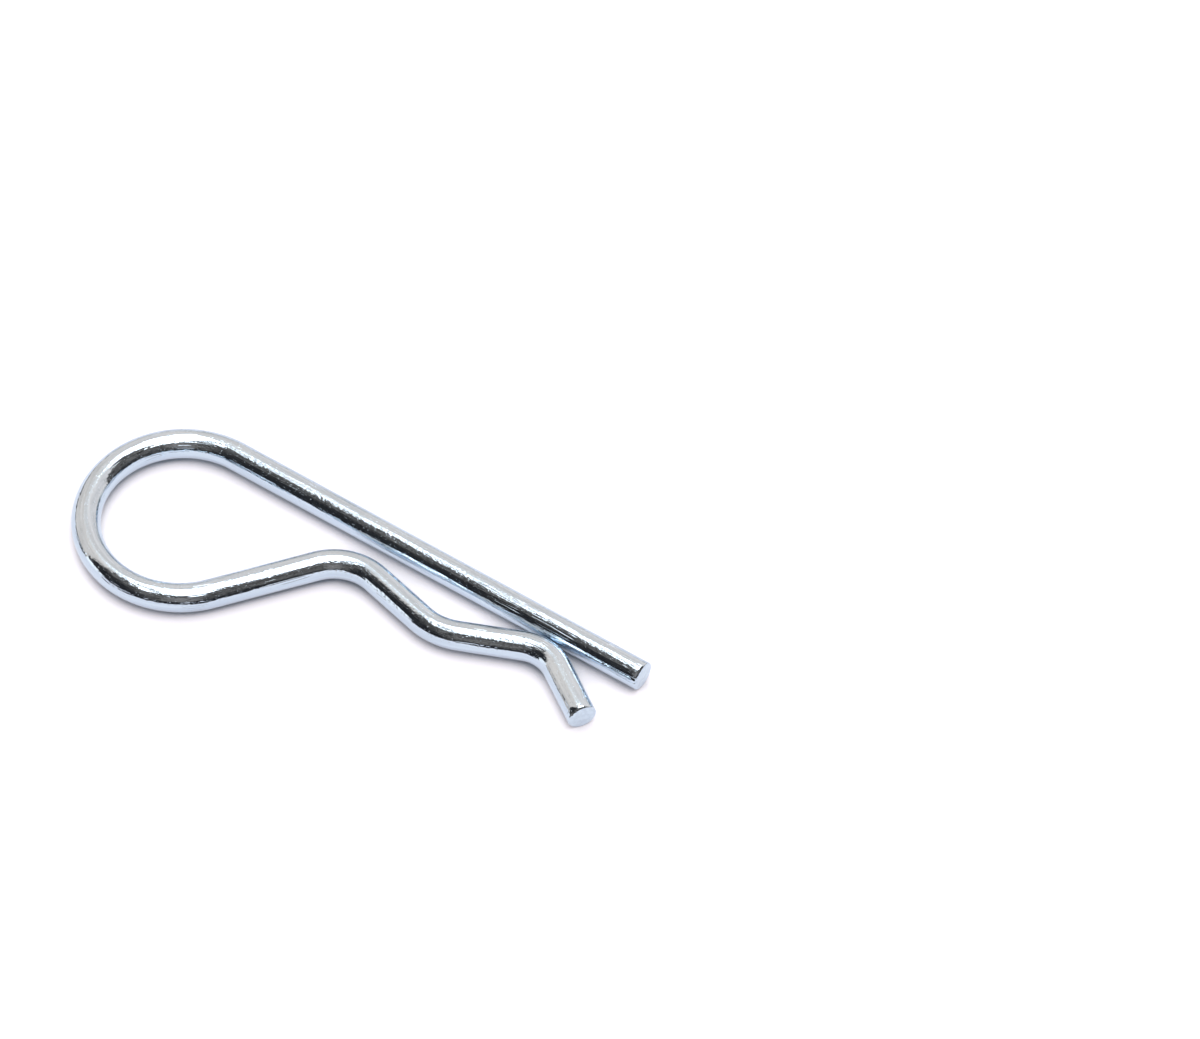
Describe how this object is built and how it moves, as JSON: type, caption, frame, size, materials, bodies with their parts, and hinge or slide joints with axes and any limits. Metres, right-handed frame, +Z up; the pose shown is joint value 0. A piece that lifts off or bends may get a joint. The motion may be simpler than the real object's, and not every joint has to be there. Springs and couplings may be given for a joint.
{
  "type": "hitch r clip pin",
  "caption": "Bent wire spring clip: a straight leg goes through a cross hole in a shaft, and a wavy arm with a round loop springs over the shaft to hold it.",
  "frame": {"origin": "on the plane that the clip lies on, below the middle of its outline", "axes": "+X along the straight leg from the loop to its tip, +Y from the wavy arm to the straight leg, +Z up, square to the plane of the bends"},
  "size_m": [0.08, 0.0296, 0.004],
  "materials": {
    "zinc_plated_wire": "bright bluish zinc plate on drawn spring steel wire, mirror-like with fine lines along the wire"
  },
  "bodies": {
    "root": {"r_clip": "zinc_plated_wire"}
  },
  "joints": []
}
